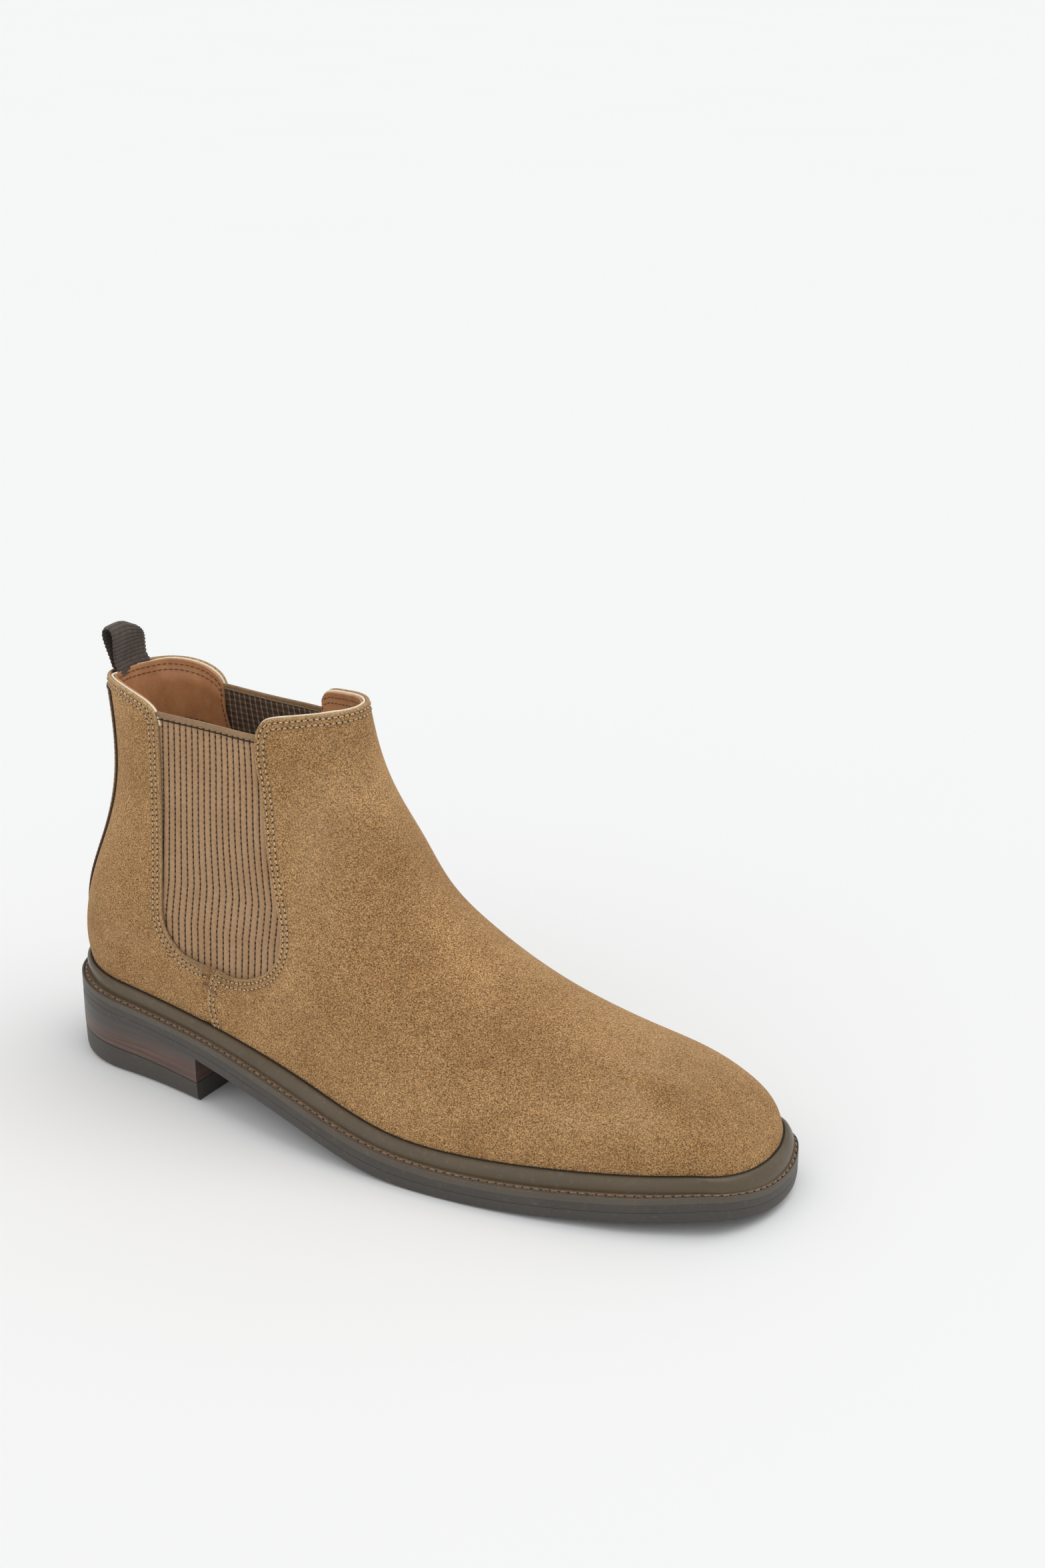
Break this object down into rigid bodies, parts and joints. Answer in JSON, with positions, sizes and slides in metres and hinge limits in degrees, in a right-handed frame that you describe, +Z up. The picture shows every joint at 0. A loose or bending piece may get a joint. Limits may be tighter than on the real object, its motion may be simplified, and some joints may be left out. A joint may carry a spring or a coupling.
{
  "type": "chelsea boot",
  "caption": "Ankle-high slip-on boot with a one-piece suede vamp, ribbed elastic side gussets, a webbing pull loop, a welted rubber sole and a low stacked heel.",
  "frame": {"origin": "on the ground, in the middle of the heel's resting face", "axes": "+X to the toe, +Y to the medial (inner) side of this right boot, +Z up"},
  "size_m": [0.3068, 0.0966, 0.1752],
  "materials": {
    "suede": "suede, warm tan brown, fine nap",
    "gusset_elastic": "ribbed elastic webbing, tan brown",
    "lining_leather": "smooth tan lining leather",
    "lining_textile": "plain woven lining, light beige",
    "tape": "cream reinforcement tape",
    "webbing": "ribbed dark brown webbing",
    "rand_rubber": "smooth satin olive brown rubber",
    "welt_rubber": "satin dark brown rubber",
    "sole_rubber": "satin dark grey rubber",
    "heel_stack": "stacked leather, dark stained, faint reddish layers",
    "thread": "tan sewing thread",
    "sole_thread": "dark brown waxed thread",
    "insole_fibre": "pressed fibre board",
    "cork": "cork and binder",
    "foam": "latex foam",
    "stiffener": "thermoplastic stiffener",
    "steel": "plain steel"
  },
  "bodies": {
    "root": {"vamp": "suede", "quarter_lateral": "suede", "quarter_medial": "suede", "back_strip": "suede", "gusset_lateral": "gusset_elastic", "gusset_medial": "gusset_elastic", "collar_facing_front": "lining_leather", "quarter_lining": "lining_textile", "vamp_lining": "lining_textile", "topline_tape_front": "tape", "heel_counter": "stiffener", "insole_board": "insole_fibre", "heel_pad": "foam", "sock_liner": "lining_leather", "cork_filler": "cork", "shank": "steel", "welt": "welt_rubber", "rand": "rand_rubber", "midsole": "sole_rubber", "outsole": "sole_rubber", "welt_stitch": "sole_thread", "heel_lift_lower": "heel_stack", "heel_lift_wedge": "heel_stack", "top_lift": "sole_rubber", "heel_nail_1": "steel", "heel_nail_2": "steel", "heel_nail_3": "steel", "heel_nail_4": "steel", "bartack_lateral": "thread", "bartack_medial": "thread"},
    "toe": {"toe_puff": "stiffener"},
    "collar": {"collar_facing_rear": "lining_leather", "topline_tape_rear": "tape"},
    "loop": {"pull_loop": "webbing"}
  },
  "joints": [
    {"name": "toe_flex", "type": "hinge", "parent": "root", "child": "toe", "pos_m": [0.167, 0, 0.006], "axis": [0, -1, 0], "range_deg": [0, 35], "stiffness_Nm_per_rad": 2, "deforming": ["vamp", "vamp_lining", "rand", "welt", "welt_stitch", "midsole", "outsole", "insole_board", "sock_liner", "cork_filler"]},
    {"name": "collar_open", "type": "hinge", "parent": "root", "child": "collar", "pos_m": [-0.029, 0, 0.08], "axis": [0, -1, 0], "range_deg": [0, 12], "stiffness_Nm_per_rad": 1.5, "deforming": ["quarter_lateral", "quarter_medial", "back_strip", "quarter_lining", "gusset_lateral", "gusset_medial"]},
    {"name": "pull_loop_swing", "type": "hinge", "parent": "collar", "child": "loop", "pos_m": [-0.0188, 0, 0.1576], "axis": [0, -1, 0], "range_deg": [-55, 75], "stiffness_Nm_per_rad": 0.01}
  ]
}
